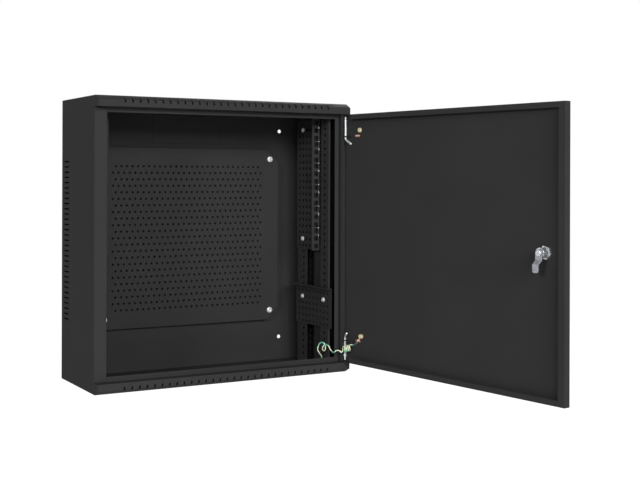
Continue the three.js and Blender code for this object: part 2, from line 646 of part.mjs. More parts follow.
function lockNut() {
  const front = DOOR_SKIN_BACK + SEAM;
  return hexagon(LOCK_NUT_WIDTH, front, front + LOCK_NUT_HEIGHT)
    .rotate([0, 0, LOCK_NUT_TURN])
    .subtract(rod(LOCK_RADIUS + FIT, front - 1, front + LOCK_NUT_HEIGHT + 1, 20));
}

const camFront = LOCK_BACK + SEAM;
const camBack = camFront + CAM_THICKNESS;

function lockPlug() {
  const front = -DOOR_SKIN - SEAM - LOCK_FLANGE_HEIGHT - SEAM;
  const tail = box(-PLUG_TAIL / 2, PLUG_TAIL / 2, -PLUG_TAIL / 2, PLUG_TAIL / 2, LOCK_BACK - 1, camBack);
  const keyway = box(-KEYWAY_WIDTH / 2, KEYWAY_WIDTH / 2, -KEYWAY_HEIGHT / 2, KEYWAY_HEIGHT / 2,
    front - KEYWAY_DEPTH, front + KEYWAY_DEPTH);
  return rod(PLUG_RADIUS, front, LOCK_BACK, 16).add(tail).subtract(keyway);
}

function lockCam() {
  const path = [
    [camBack, CAM_HUB_RADIUS], [camBack, -CAM_BEND_START],
    [camBack + CAM_OFFSET, -CAM_BEND_END], [camBack + CAM_OFFSET, -CAM_LENGTH],
  ];
  const bar = plateX(foldedOutline(path.reverse(), CAM_THICKNESS), -CAM_HUB_RADIUS, CAM_HUB_RADIUS);
  const outline = [];
  for (let i = 0; i <= 8; i += 1) {
    const angle = (i / 8) * Math.PI;
    outline.push([CAM_HUB_RADIUS * Math.cos(angle), CAM_HUB_RADIUS * Math.sin(angle)]);
  }
  for (const [side, first] of [[-1, 2], [1, 3]]) {
    const middle = side * (CAM_TIP_WIDTH / 2 - CAM_TIP_CORNER);
    for (let i = 0; i <= 4; i += 1) {
      const angle = ((first + i / 4) * Math.PI) / 2;
      outline.push([middle + CAM_TIP_CORNER * Math.cos(angle),
        -CAM_LENGTH + CAM_TIP_CORNER * (1 + Math.sin(angle))]);
    }
  }
  const blank = plateY(outline, camFront - 1, camBack + CAM_OFFSET + 1);
  const eye = (PLUG_TAIL / 2) + FIT;
  const hole = box(-eye, eye, camFront - 2, camBack + 2, -eye, eye);
  return bar.intersect(blank).subtract(hole);
}

function camNut() {
  const front = camBack + SEAM;
  return turned([
    [0, front], [CAM_NUT_RADIUS, front], [CAM_NUT_RADIUS, front + CAM_NUT_HEIGHT - 0.8],
    [CAM_NUT_RADIUS - 0.8, front + CAM_NUT_HEIGHT], [0, front + CAM_NUT_HEIGHT],
  ], 14);
}

// Turns a piece made about z so that it lies along y, at the lock
function atLock(solid) {
  return solid.rotate([-90, 0, 0]).translate([-LOCK_FROM_HINGE, 0, 0]);
}

// Earth stud about the z axis, its collar on the sheet, and the nut over what it clamps
const terminalFoot = STUD_WASHER_HEIGHT + SEAM;
const clampedHeight = TERMINAL_THICKNESS + SEAM;

function earthStud(clamped) {
  return rod(STUD_RADIUS, 0, terminalFoot + clamped + STUD_NUT_HEIGHT)
    .add(rod(STUD_WASHER_RADIUS, 0, STUD_WASHER_HEIGHT));
}

function earthNut(clamped) {
  const foot = terminalFoot + clamped;
  return hexagon(STUD_NUT_WIDTH, foot, foot + STUD_NUT_HEIGHT)
    .subtract(rod(STUD_RADIUS + FIT, 0, foot + STUD_NUT_HEIGHT + FIT));
}

// Turns a piece made about z so that it stands on the inside of the door's skin
function onDoor(solid, fromHinge, z) {
  return solid.rotate([-90, 0, 0]).translate([-fromHinge, DOOR_SKIN_BACK + SEAM, z]);
}

function onFloor(solid) {
  return solid.translate([FLOOR_STUD_X, FLOOR_STUD_Y, FLOOR_Z]);
}

// A crimp terminal in the x, y plane: its ring, a tongue along +x and the barrel round the wire
const barrelHeight = terminalFoot + TERMINAL_BARREL_RADIUS - 0.1;

function terminal() {
  const ring = rod(TERMINAL_RADIUS, terminalFoot, terminalFoot + TERMINAL_THICKNESS);
  const tongue = box(0, TERMINAL_TONGUE + 1, -TERMINAL_BARREL_RADIUS + 0.6, TERMINAL_BARREL_RADIUS - 0.6,
    terminalFoot, terminalFoot + TERMINAL_THICKNESS);
  const barrel = rod(TERMINAL_BARREL_RADIUS, TERMINAL_TONGUE, TERMINAL_TONGUE + TERMINAL_BARREL, 10)
    .rotate([0, 90, 0])
    .translate([0, 0, barrelHeight]);
  return joined([ring, tongue, barrel])
    .subtract(rod(STUD_RADIUS + FIT, 0, terminalFoot + TERMINAL_THICKNESS + FIT));
}

// Earth wire from the door terminal, curled beside the hinge, then loosely looped to the floor stud
function doorPoint(fromHinge, inward, z) {
  return new THREE.Vector3(-fromHinge, inward, z)
    .applyAxisAngle(new THREE.Vector3(0, 0, 1), door.rotation.z)
    .add(door.position);
}

// Points of a helix along a line, counted in turns from its hinge side
function coilPoints([start, end], radius, first, turns, rise) {
  const axis = end.clone().sub(start);
  const across = new THREE.Vector3(axis.y, -axis.x, 0).normalize();
  const count = turns * COIL_POINTS_PER_TURN;
  return Array.from({ length: count + 1 }, (_, i) => {
    const angle = (first + i / COIL_POINTS_PER_TURN) * 2 * Math.PI;
    const point = start.clone().addScaledVector(axis, i / count);
    point.addScaledVector(across, radius * Math.cos(angle));
    point.z += rise * radius * Math.sin(angle);
    return point;
  });
}

function wirePath() {
  const lean = THREE.MathUtils.degToRad(DOOR_TERMINAL_TURN);
  const reach = TERMINAL_TONGUE + TERMINAL_BARREL + SEAM;
  const fromDoor = (length) => doorPoint(
    LOWER_STUD_FROM_HINGE - (reach + length) * Math.sin(lean),
    DOOR_SKIN_BACK + SEAM + barrelHeight, LOWER_STUD_Z - (reach + length) * Math.cos(lean));
  const fromFloor = (length) => new THREE.Vector3(
    FLOOR_STUD_X, FLOOR_STUD_Y - reach - length, FLOOR_Z + barrelHeight);
  return new THREE.CatmullRomCurve3([
    fromDoor(0), fromDoor(WIRE_END), WIRE_FROM_DOOR,
    ...coilPoints(CURL_AXIS, CURL_RADIUS, -0.25, CURL_TURNS, -1),
    ...WIRE_INTO_CABINET,
    ...coilPoints(LOOP_AXIS, LOOP_RADIUS, 0, LOOP_TURNS, 1),
    ...WIRE_TO_FLOOR,
    fromFloor(4.5 * WIRE_END), fromFloor(WIRE_END), fromFloor(0),
  ], false, 'centripetal');
}

function leastGap(path) {
  const points = path.getSpacedPoints(3 * WIRE_STEPS);
  const apart = Math.ceil((6 * WIRE_RADIUS) / (path.getLength() / (3 * WIRE_STEPS)));
  let least = Infinity;
  for (let i = 0; i < points.length; i += 1) {
    for (let j = i + apart; j < points.length; j += 1) {
      least = Math.min(least, points[i].distanceTo(points[j]) - 2 * WIRE_RADIUS);
    }
  }
  return least;
}

function earthWire() {
  const path = wirePath();
  console.log(`earth wire: ${path.getLength().toFixed(0)} mm long, least gap ${leastGap(path).toFixed(2)} mm`);
  const section = new THREE.Shape(polygon(0, 0, WIRE_RADIUS, WIRE_SIDES)
    .map(([u, v]) => new THREE.Vector2(u, v)));
  return solidOf(new THREE.ExtrudeGeometry(section,
    { steps: WIRE_STEPS, extrudePath: path, bevelEnabled: false }));
}

addPiece(model, 'side_panel_left', sidePanel(-1), 'body');
addPiece(model, 'side_panel_right', sidePanel(1), 'body');
addPiece(model, 'top_cover', cover(1), 'body');
addPiece(model, 'bottom_cover', cover(-1), 'body');
addPiece(model, 'back_panel', backPanel(), 'interior');
for (const [side, word] of [[-1, 'left'], [1, 'right']]) {
  addPiece(model, `upright_front_${word}`,
    upright(side, FRONT_COLUMN, FRONT_UPRIGHT_WIDTH, FRONT_UPRIGHT_LIP), 'interior');
  addPiece(model, `upright_rear_${word}`, upright(side, REAR_COLUMN, REAR_UPRIGHT_WIDTH, SHEET), 'interior');
  addPiece(model, `rack_rail_${word}`, rackRail(side), 'interior');
  addPiece(model, `rail_screw_lower_${word}`, webScrew(side, REAR_COLUMN, RAIL_SCREW_ROWS[0]), 'zinc');
  addPiece(model, `rail_screw_upper_${word}`, webScrew(side, REAR_COLUMN, RAIL_SCREW_ROWS[1]), 'zinc');
}
addPiece(model, 'side_bracket', sideBracket(), 'interior');
addPiece(model, 'bracket_screw_front', webScrew(1, FRONT_COLUMN, BRACKET_SCREW_ROW), 'zinc');
addPiece(model, 'bracket_screw_rear', webScrew(1, REAR_COLUMN, BRACKET_SCREW_ROW), 'zinc');
addPiece(model, 'mounting_plate', mountingPlate(), 'interior');
for (const [word, x, z] of plateCorners) {
  addPiece(model, `plate_spacer_${word}`, plateSpacer(x, z), 'zinc');
  addPiece(model, `plate_screw_${word}`, plateScrew(x, z), 'zinc');
}
addPiece(model, 'floor_earth_stud', onFloor(earthStud(clampedHeight)), 'brass');
addPiece(model, 'floor_earth_nut', onFloor(earthNut(clampedHeight)), 'brass');
addPiece(model, 'floor_earth_terminal', onFloor(terminal().rotate([0, 0, -90])), 'zinc');
addPiece(model, 'earth_wire', earthWire(), 'wire');

addPiece(door, 'door_panel', doorPanel(), 'body');
addPiece(door, 'pin_guide_upper', pinGuide(1), 'body');
addPiece(door, 'pin_guide_lower', pinGuide(-1), 'body');
addPiece(door, 'hinge_pin_upper', hingePin(1, 0), 'zinc');
addPiece(door, 'hinge_pin_lower', hingePin(-1, LOWER_HANDLE_TURN), 'zinc');
addPiece(door, 'door_earth_stud_upper', onDoor(earthStud(0), UPPER_STUD_FROM_HINGE, UPPER_STUD_Z), 'brass');
addPiece(door, 'door_earth_nut_upper', onDoor(earthNut(0), UPPER_STUD_FROM_HINGE, UPPER_STUD_Z), 'brass');
addPiece(door, 'door_earth_stud_lower',
  onDoor(earthStud(clampedHeight), LOWER_STUD_FROM_HINGE, LOWER_STUD_Z), 'brass');
addPiece(door, 'door_earth_nut_lower',
  onDoor(earthNut(clampedHeight), LOWER_STUD_FROM_HINGE, LOWER_STUD_Z), 'brass');
addPiece(door, 'door_earth_terminal',
  onDoor(terminal().rotate([0, 0, 90 - DOOR_TERMINAL_TURN]), LOWER_STUD_FROM_HINGE, LOWER_STUD_Z), 'zinc');
addPiece(door, 'lock_body', atLock(lockBody()), 'chrome');
addPiece(door, 'lock_nut', atLock(lockNut()), 'chrome');
addPiece(door, 'lock_plug', atLock(lockPlug()), 'chrome');
addPiece(door, 'lock_cam', lockCam().translate([-LOCK_FROM_HINGE, 0, 0]), 'chrome');
addPiece(door, 'cam_nut', atLock(camNut()), 'chrome');

export default model;
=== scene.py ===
import math
import bpy
from mathutils import Matrix, Vector


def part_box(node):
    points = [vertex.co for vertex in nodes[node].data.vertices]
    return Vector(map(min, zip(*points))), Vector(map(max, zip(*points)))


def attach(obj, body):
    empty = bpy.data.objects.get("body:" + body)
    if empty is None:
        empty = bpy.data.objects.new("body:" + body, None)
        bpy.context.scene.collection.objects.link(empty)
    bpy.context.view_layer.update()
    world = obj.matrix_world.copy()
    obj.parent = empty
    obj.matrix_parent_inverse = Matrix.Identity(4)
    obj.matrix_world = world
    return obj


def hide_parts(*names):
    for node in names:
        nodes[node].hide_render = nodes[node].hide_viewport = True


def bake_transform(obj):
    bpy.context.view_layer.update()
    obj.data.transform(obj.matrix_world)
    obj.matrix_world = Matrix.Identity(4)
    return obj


# Wall-hung network cabinet with its door open, in metres.
# x runs to the right, y towards the wall and z up, from the middle of the back face.

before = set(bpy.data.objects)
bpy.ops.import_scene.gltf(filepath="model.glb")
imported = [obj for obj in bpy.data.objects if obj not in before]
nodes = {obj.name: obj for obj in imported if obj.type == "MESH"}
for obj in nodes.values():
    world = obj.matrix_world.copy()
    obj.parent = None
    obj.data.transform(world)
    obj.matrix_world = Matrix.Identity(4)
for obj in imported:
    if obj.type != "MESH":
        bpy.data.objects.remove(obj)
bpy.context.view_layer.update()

# Cabinet sizes
WIDTH = 0.540
HEIGHT = 0.542
DEPTH = 0.198
SHEET = 0.0015
FLOOR_INSIDE = -HEIGHT / 2 + 0.0018
BACK_PANEL_SPREAD = 1.0013

# Door: its axis, how far it stands open, and its skin's inner face counted inwards from the axis
HINGE = Vector((WIDTH / 2 - 0.0065, -DEPTH + 0.0071, 0))
DOOR_ANGLE = math.radians(98.64)
SKIN_INSIDE = -0.0034

# Hinge pins: heights from the door's middle, then lengths, turn and radii
BAR_EDGE = HEIGHT / 2 - 0.021
PIN_TOP = BAR_EDGE + 0.005
# Above this height the pins carry near-black painted shade, where they go into the bars
PIN_SHADE_HEIGHT = 0.2452
COLLAR_TOP = BAR_EDGE - 0.0115
COLLAR_BOTTOM = BAR_EDGE - 0.0165
PIN_BEND = BAR_EDGE - 0.051
PIN_ARC = 0.003
PIN_STEP = 0.0005
HANDLE_REACH = 0.017
HANDLE_DROP = 0.0095
LOWER_HANDLE_TURN = math.radians(-30)
PIN_RADIUS = 0.0023
PIN_TOP_RADIUS = 0.002
PIN_TIP_RADIUS = 0.0012
COLLAR_RADIUS = 0.0031

# Mounting plate and its staggered rows of holes
PLATE_HALF_WIDTH = 0.208
PLATE_HALF_HEIGHT = 0.1808
PLATE_FRONT = -0.014
PLATE_CORNER = 0.026
PLATE_SCREW_X = 0.1878
PLATE_SCREW_Z = 0.1606
PLATE_HOLE_RADIUS = 0.0023
PLATE_HOLE_PITCH = 0.01197
PLATE_ROW_STEP = 0.01306
PLATE_TOP_ROW = 0.1438

# Screw heads, as radius and height, and how far in front of the plate they stand
PLATE_SCREW_HEAD = (0.0062, 0.0038)
WEB_SCREW_HEAD = (0.0048, 0.003)
PLATE_HEAD_LIFT = 0.0003

# Rack rails: the printed face, and the units counted up from the lowest
RAIL_FACE = -DEPTH + 0.069
RACK_UNIT = 0.04445
RAIL_UNITS = 6
LOWEST_UNIT = 0.2431 - 0.002 - RAIL_UNITS * RACK_UNIT
MARKS_X = 0.2387
DIGIT_SIZE = 0.006

# Earth wire, its terminal on the door and the shrink sleeve between them
WIRE_RADIUS = 0.0013
WIRE_SIDES = 12
STRIPE_TWIST = 24.5
STRIPE_START = 0.42
BARREL_DEPTH = SKIN_INSIDE + 0.0031
TERMINAL_LEAN = math.radians(38)
LOWER_STUD = (0.0447, -0.1936)
WIRE_START = (0.0173, 0.0193)
SLEEVE_START = (0.0128, 0.0150)
SLEEVE_RADIUS = 0.0026
SLEEVE_RIPPLE = 0.00015
SLEEVE_TAPER = 0.0009

# Labels on the door's skin: their length and thickness, and their places from the hinge and in height
LABEL_LENGTH = 0.0125
LABEL_THICKNESS = 0.0003
LABELS = {"earth_label_upper": (0.0318, 0.2053), "earth_label_lower": (0.0346, -0.2049)}

# Camera at the photograph's place
CAMERA_PLACE = (-0.95379, -2.01359, 0.126777)
CAMERA_TURN = (90.037, -0.187, -27.253)
CAMERA_LENS = 60.588
CAMERA_SHIFT = (0.15146, -0.10261)

# Lamps, as place, size and power, all turned to one point
LAMP_AIM = (0.1, -0.2, 0)
LAMPS = {
    "left_light": ((-4.94, -3.11, 1.45), 1.0, 125),
    "front_light": ((0.1, -5.91, 1.85), 1.8, 175),
    "rear_light": ((3.73, 4.12, 2.05), 2.0, 200),
    "middle_light": ((-1.85, -5.56, 1.85), 1.8, 110),
}

# Surround: how strongly it is seen, and how softly it lights
FLOOR_HEIGHT = -0.95
FLOOR_GLOW = 1.12
FLOOR_GLOW_SHARE = 0.9
SOFT_LIGHT = 0.05


def place_camera():
    data = bpy.data.cameras.new("camera")
    data.lens = CAMERA_LENS
    data.sensor_width = 36
    data.shift_x, data.shift_y = CAMERA_SHIFT
    camera = bpy.data.objects.new("camera", data)
    bpy.context.scene.collection.objects.link(camera)
    camera.location = CAMERA_PLACE
    camera.rotation_euler = [math.radians(angle) for angle in CAMERA_TURN]
    bpy.context.scene.camera = camera


place_camera()


# Materials, written as sums on sockets
class Value:
    def __init__(self, graph, socket):
        self.graph = graph
        self.socket = socket

    def math(self, operation, other=0.0, swap=False):
        pair = (other, self) if swap else (self, other)
        return self.graph.node("ShaderNodeMath", {"operation": operation}, {0: pair[0], 1: pair[1]})

    def __add__(self, other):
        return self.math("ADD", other)

    def __radd__(self, other):
        return self.math("ADD", other, swap=True)

    def __sub__(self, other):
        return self.math("SUBTRACT", other)

    def __rsub__(self, other):
        return self.math("SUBTRACT", other, swap=True)

    def __mul__(self, other):
        return self.math("MULTIPLY", other)

    def __rmul__(self, other):
        return self.math("MULTIPLY", other, swap=True)

    def above(self, limit):
        return self.math("GREATER_THAN", limit)

    def biggest(self, other):
        return self.math("MAXIMUM", other)

    def size(self):
        return self.math("ABSOLUTE")


class Graph:
    def __init__(self, owner, output="ShaderNodeOutputMaterial"):
        owner.use_nodes = True
        self.owner = owner
        self.output = output
        self.tree = owner.node_tree
        self.tree.nodes.clear()

    def node(self, kind, settings=None, inputs=None, output=0):
        made = self.tree.nodes.new(kind)
        for name, value in (settings or {}).items():
            setattr(made, name, value)
        for name, value in (inputs or {}).items():
            if isinstance(value, Value):
                self.tree.links.new(value.socket, made.inputs[name])
            else:
                made.inputs[name].default_value = value
        return Value(self, made.outputs[output])

    def place(self):
        return self.node("ShaderNodeTexCoord", output="Object")

    def along(self, axis):
        return self.node("ShaderNodeSeparateXYZ", {}, {"Vector": self.place()}, output=axis)

    def noise(self, scale, detail):
        return self.node("ShaderNodeTexNoise", {},
                         {"Vector": self.place(), "Scale": scale, "Detail": detail})

    def mix(self, factor, first, second):
        return self.node("ShaderNodeMix", {"data_type": "RGBA"},
                         {"Factor": factor, "A": first, "B": second}, output="Result")

    def bump(self, height, strength, distance):
        return self.node("ShaderNodeBump", {},
                         {"Height": height, "Strength": strength, "Distance": distance})

    # 1 where the camera sees a surface straight, mirrored or through another, and 0 where it only lights
    def seen(self):
        camera, glossy, through = (
            self.node("ShaderNodeLightPath", output=ray)
            for ray in ("Is Camera Ray", "Is Glossy Ray", "Is Transmission Ray"))
        return camera.biggest(glossy).biggest(through)

    def finish(self, inputs):
        return self.to_surface(self.node("ShaderNodeBsdfPrincipled", {}, inputs))

    def to_surface(self, shader):
        output = self.tree.nodes.new(self.output)
        self.tree.links.new(shader.socket, output.inputs["Surface"])
        return self.owner


# Powder coat: dark and light shade, and roughness
OUTSIDE_COAT = ((0.030, 0.030, 0.030, 1), (0.044, 0.044, 0.044, 1), 0.62)
INSIDE_COAT = ((0.028, 0.028, 0.028, 1), (0.042, 0.042, 0.042, 1), 0.64)
COAT_GLOSS = 0.012
# Near-black painted shade: under sheets that cover another, in the walls of punched holes, and on the pin
# ends inside the bars
PAINTED_SHADE_UNDER_COVER = (0.004, 0.004, 0.004, 1)
PAINTED_SHADE_IN_HOLES = (0.006, 0.006, 0.006, 1)
PAINTED_SHADE_PIN_END = (0.02, 0.02, 0.02, 1)

# Spans of height where the bracket and the rails cover the uprights, which get near-black painted shade
# there
UNDER_BRACKET = (-0.1835, -0.1040)
UNDER_RAIL = (-0.0245, 0.2425)

# Painted shade in the walls of the punched holes starts this far behind a sheet's face. On the front
# uprights it goes only on what lies
#  further back than their fold, and elsewhere on everything.
HOLE_SHADE_START = 0.0003
BEHIND_FOLD = -0.1600
EVERYWHERE = -1


# Fine satin powder coat: orange peel, a little sparkle in the grain, slow drift in its shade.
# Near-black painted shade where another sheet covers it and in the walls of the punched holes, so that the
# holes read dark.
def powder_coat(name, dark, light, roughness, shaded_spans=(), walls=None):
    graph = Graph(bpy.data.materials.new(name))
    peel = graph.noise(620, 3)
    grain = graph.noise(2400, 1)
    drift = graph.noise(9, 2)
    colour = graph.mix(drift * 0.55 + grain * 0.45, dark, light)
    for low, high in shaded_spans:
        height = graph.along("Z")
        colour = graph.mix(height.above(low) * (1 - height.above(high)), colour, PAINTED_SHADE_UNDER_COVER)
    if walls:
        out, back = walls
        inside = graph.along("X").size().above(out) * graph.along("Y").above(back)
        colour = graph.mix(inside, colour, PAINTED_SHADE_IN_HOLES)
    return graph.finish({
        "Base Color": colour,
        "Roughness": grain * 0.10 + (roughness - 0.05),
        "Specular IOR Level": COAT_GLOSS,
        "Normal": graph.bump(peel * 0.7 + grain * 0.3, 0.16, 0.0004),
    })


# Bright metal with faint rubbed marks and a slow change of tint, and near-black painted shade above the
# given height if one is given
def plated(name, cool, warm, metal, roughness, marks, shade_height=None):
    graph = Graph(bpy.data.materials.new(name))
    drift = graph.noise(240, 2)
    rubbed = graph.noise(1500, 4)
    tint = graph.mix((drift - 0.5) * 1.3 + 0.5, cool, warm)
    if shade_height:
        tint = graph.mix(graph.along("Z").size().above(shade_height), tint, PAINTED_SHADE_PIN_END)
    return graph.finish({
        "Base Color": tint,
        "Metallic": metal,
        "Roughness": drift * 0.06 + rubbed * marks + roughness,
        "Normal": graph.bump(rubbed, 0.08, 0.0002),
    })


# Ink, labels and the shrink sleeve: two shades of one colour in small patches
def ink(name, colour, thin):
    graph = Graph(bpy.data.materials.new(name))
    cover = graph.noise(900, 2)
    return graph.finish({
        "Base Color": graph.mix(cover, colour, thin),
        "Roughness": cover * 0.15 + 0.5,
        "Normal": graph.bump(cover, 0.1, 0.0002),
    })


# Earth wire sleeve: green with a yellow stripe that winds round it
def striped_sleeve():
    graph = Graph(bpy.data.materials.new("earth_wire_sleeve"))
    chart = graph.node("ShaderNodeUVMap", {"uv_map": "around"}, output="UV")
    around = graph.node("ShaderNodeSeparateXYZ", {}, {"Vector": chart}, output="X")
    stripe = around.math("FRACT").above(STRIPE_START)
    tone = graph.noise(240, 2)
    green = graph.mix(tone, (0.030, 0.34, 0.22, 1), (0.070, 0.50, 0.34, 1))
    yellow = graph.mix(tone, (0.82, 0.80, 0.54, 1), (0.94, 0.92, 0.70, 1))
    return graph.finish({
        "Base Color": graph.mix(stripe, green, yellow),
        "Roughness": tone * 0.12 + 0.32,
        "Normal": graph.bump(tone, 0.1, 0.0003),
    })


# Coat of a punched sheet, with near-black painted shade in its hole walls and in the spans that other sheets
# cover
def punched_coat(name, face, shaded_spans=(), back=EVERYWHERE):
    return powder_coat(name, *INSIDE_COAT, shaded_spans, (face + HOLE_SHADE_START, back))


coat_outside = powder_coat("powder_coat_outside", *OUTSIDE_COAT)
coat_inside = powder_coat("powder_coat_inside", *INSIDE_COAT)
chrome = plated("chrome_plate", (0.34, 0.36, 0.40, 1), (0.82, 0.83, 0.86, 1), 0.8, 0.12, 0.10)
cam_plate = plated("satin_cam_plate", (0.20, 0.21, 0.24, 1), (0.46, 0.47, 0.50, 1), 0.85, 0.15, 0.16)
zinc = plated("zinc_plate", (0.66, 0.68, 0.72, 1), (0.94, 0.94, 0.94, 1), 0.5, 0.24, 0.14)
# The pins' zinc has near-black painted shade on the ends that go into the bars
pin_zinc = plated("zinc_plate_pin", (0.54, 0.58, 0.62, 1), (0.76, 0.78, 0.80, 1), 0.5, 0.32, 0.14,
                  PIN_SHADE_HEIGHT)
brass = plated("turned_brass", (0.82, 0.74, 0.42, 1), (0.94, 0.89, 0.60, 1), 0.35, 0.30, 0.12)
copper = plated("copper_terminal", (0.80, 0.46, 0.30, 1), (0.92, 0.66, 0.48, 1), 0.4, 0.32, 0.12)
white_ink = ink("white_ink", (0.80, 0.80, 0.79, 1), (0.62, 0.62, 0.61, 1))
label_pale = ink("pale_label", (0.76, 0.42, 0.32, 1), (0.84, 0.56, 0.44, 1))
label_rust = ink("rust_label", (0.16, 0.040, 0.012, 1), (0.24, 0.075, 0.026, 1))
grey_sleeve = ink("grey_shrink_sleeve", (0.055, 0.057, 0.062, 1), (0.10, 0.10, 0.11, 1))
wire_sleeve = striped_sleeve()


# Work on meshes as by hand
def start_clean():
    if bpy.context.mode != "OBJECT":
        bpy.ops.object.mode_set(mode="OBJECT")
    bpy.ops.object.select_all(action="DESELECT")


def only(piece):
    start_clean()
    piece.select_set(True)
    bpy.context.view_layer.objects.active = piece


def apply_all(piece):
    only(piece)
    for modifier in list(piece.modifiers):
        bpy.ops.object.modifier_apply(modifier=modifier.name)


def settle(piece):
    only(piece)
    bpy.ops.object.transform_apply(location=True, rotation=True, scale=True)


def smooth(piece, angle=35):
    only(piece)
    bpy.ops.object.shade_smooth_by_angle(angle=math.radians(angle))


def bevel(piece, width, segments=2):
    modifier = piece.modifiers.new("edges", "BEVEL")
    modifier.width = width
    modifier.segments = segments
    modifier.limit_method = "ANGLE"
    modifier.angle_limit = math.radians(30)
    apply_all(piece)


def dress(piece, name, material, body):
    piece.name = name
    piece.data.name = name
    piece.data.materials.clear()
    piece.data.materials.append(material)
    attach(piece, body)
    return piece


def copy_of(piece, name):
    made = piece.copy()
    made.data = piece.data.copy()
    made.name = name
    made.parent = None
    bpy.context.scene.collection.objects.link(made)
    return made


# A folded sheet or turned piece whose edges are eased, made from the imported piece's own shape
def eased(node, width, material, body, segments=2):
    piece = copy_of(nodes[node], node + "_eased")
    for key in [key for key in piece.keys() if key.startswith("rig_")]:
        del piece[key]
    only(piece)
    bpy.ops.object.mode_set(mode="EDIT")
    bpy.ops.mesh.select_all(action="SELECT")
    bpy.ops.mesh.remove_doubles(threshold=2e-6)
    bpy.ops.mesh.dissolve_limited(angle_limit=math.radians(0.5))
    bpy.ops.object.mode_set(mode="OBJECT")
    bevel(piece, width, segments)
    smooth(piece)
    even = piece.modifiers.new("even", "WEIGHTED_NORMAL")
    even.keep_sharp = True
    apply_all(piece)
    dress(piece, node + "_eased", material, body)
    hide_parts(node)
    return piece


# Outer sheets, each with its body and the width of its eased edges
OUTER_SHEETS = {
    "side_panel_left": ("cabinet", 0.0006), "side_panel_right": ("cabinet", 0.0006),
    "top_cover": ("cabinet", 0.0007), "bottom_cover": ("cabinet", 0.0007),
    "door_panel": ("door", 0.0007),
    "pin_guide_upper": ("door", 0.0002), "pin_guide_lower": ("door", 0.0002),
}
for sheet_node, (sheet_body, sheet_edge) in OUTER_SHEETS.items():
    eased(sheet_node, sheet_edge, coat_outside, sheet_body)

# Sheets inside, each with its coat. The punched ones carry near-black painted shade in their hole walls and
# where other sheets cover them.
upright_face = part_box("upright_rear_right")[0].x
rail_coat_painted_shade = punched_coat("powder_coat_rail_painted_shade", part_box("rack_rail_right")[1].x - SHEET)
INNER_SHEETS = {
    "back_panel": coat_inside,
    "side_bracket": punched_coat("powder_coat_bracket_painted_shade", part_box("side_bracket")[1].x - SHEET),
    "rack_rail_left": rail_coat_painted_shade,
    "rack_rail_right": rail_coat_painted_shade,
    "upright_front_left": punched_coat("powder_coat_front_left_painted_shade", upright_face, [], BEHIND_FOLD),
    "upright_rear_left": punched_coat("powder_coat_rear_left_painted_shade", upright_face, [UNDER_RAIL]),
    "upright_front_right": punched_coat("powder_coat_front_right_painted_shade", upright_face, [UNDER_BRACKET],
                                        BEHIND_FOLD),
    "upright_rear_right": punched_coat("powder_coat_rear_right_painted_shade", upright_face,
                                       [UNDER_BRACKET, UNDER_RAIL]),
}
for sheet_node, sheet_coat in INNER_SHEETS.items():
    sheet = eased(sheet_node, 0.0003, sheet_coat, "cabinet", 1)
    if sheet_node == "back_panel":
        # A little wider and higher than the solid, so that no light shows through the seam round it
        sheet.data.transform(Matrix.Diagonal((BACK_PANEL_SPREAD, 1, BACK_PANEL_SPREAD, 1)))


# Mounting plate with its staggered rows of punched holes
def hole_rows(columns, rows, first_x, first_z):
    bpy.ops.mesh.primitive_cylinder_add(
        vertices=10, radius=PLATE_HOLE_RADIUS, depth=6 * SHEET, location=(0, 0, 0),
        rotation=(math.pi / 2, 0, 0))
    cutter = bpy.context.object
    settle(cutter)
    cutter.data.transform(Matrix.Translation((first_x, PLATE_FRONT, first_z)))
    for count, step in ((columns, (PLATE_HOLE_PITCH, 0, 0)), (rows, (0, 0, -2 * PLATE_ROW_STEP))):
        repeat = cutter.modifiers.new("rows", "ARRAY")
        repeat.count = count
        repeat.use_relative_offset = False
        repeat.use_constant_offset = True
        repeat.constant_offset_displace = step
    apply_all(cutter)
    return cutter


def cut(piece, cutter):
    modifier = piece.modifiers.new("cut", "BOOLEAN")
    modifier.operation = "DIFFERENCE"
    modifier.solver = "EXACT"
    modifier.object = cutter
    apply_all(piece)
    bpy.data.objects.remove(cutter)


def perforated_plate():
    start_clean()
    bpy.ops.mesh.primitive_cube_add(size=1, location=(0, PLATE_FRONT + SHEET / 2, 0))
    plate = bpy.context.object
    plate.scale = (2 * PLATE_HALF_WIDTH, SHEET, 2 * PLATE_HALF_HEIGHT)
    settle(plate)
    bpy.ops.object.mode_set(mode="EDIT")
    bpy.ops.mesh.select_mode(type="EDGE")
    bpy.ops.mesh.select_all(action="DESELECT")
    bpy.ops.object.mode_set(mode="OBJECT")
    for edge in plate.data.edges:
        first, second = (plate.data.vertices[i].co for i in edge.vertices)
        edge.select = abs(first.y - second.y) > SHEET / 2
    bpy.ops.object.mode_set(mode="EDIT")
    bpy.ops.mesh.bevel(offset=PLATE_CORNER, segments=1)
    bpy.ops.object.mode_set(mode="OBJECT")
    for columns, rows, first_x, first_z in (
        (28, 12, -0.1635, PLATE_TOP_ROW), (29, 11, -0.1694, PLATE_TOP_ROW - PLATE_ROW_STEP),
    ):
        cut(plate, hole_rows(columns, rows, first_x, first_z))
    smooth(plate)
    dress(plate, "perforated_plate", coat_inside, "cabinet")
    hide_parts("mounting_plate")


perforated_plate()


